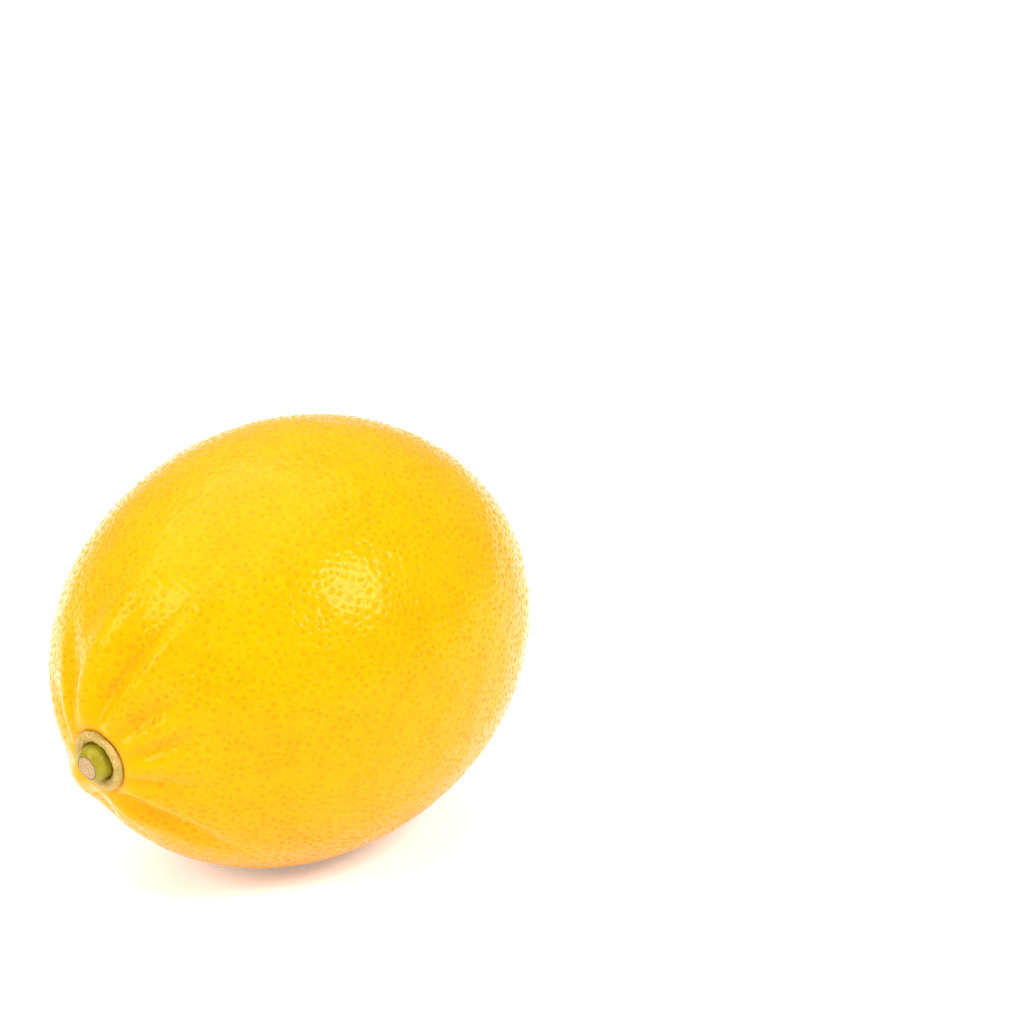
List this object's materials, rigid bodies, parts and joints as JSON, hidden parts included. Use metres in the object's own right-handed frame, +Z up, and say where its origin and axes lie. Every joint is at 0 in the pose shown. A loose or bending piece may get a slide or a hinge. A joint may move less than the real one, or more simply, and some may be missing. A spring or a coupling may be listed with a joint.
{
  "type": "lemon",
  "caption": "Whole ripe lemon lying on its side, with ribbed rind round a corky button, a cut green stem stub and a blunt nipple at the far end.",
  "frame": {"origin": "middle of the small flat spot on the underside that the fruit rests on", "axes": "+X along the fruit's length, from the stem end to the nipple; +Z up, away from the resting spot"},
  "size_m": [0.0808, 0.0597, 0.0597],
  "materials": {
    "rind": "satin",
    "cork": "matte",
    "green_bark": "satin"
  },
  "bodies": {
    "root": {"fruit": "rind", "calyx": "cork", "stem_stub": "green_bark"}
  },
  "joints": []
}
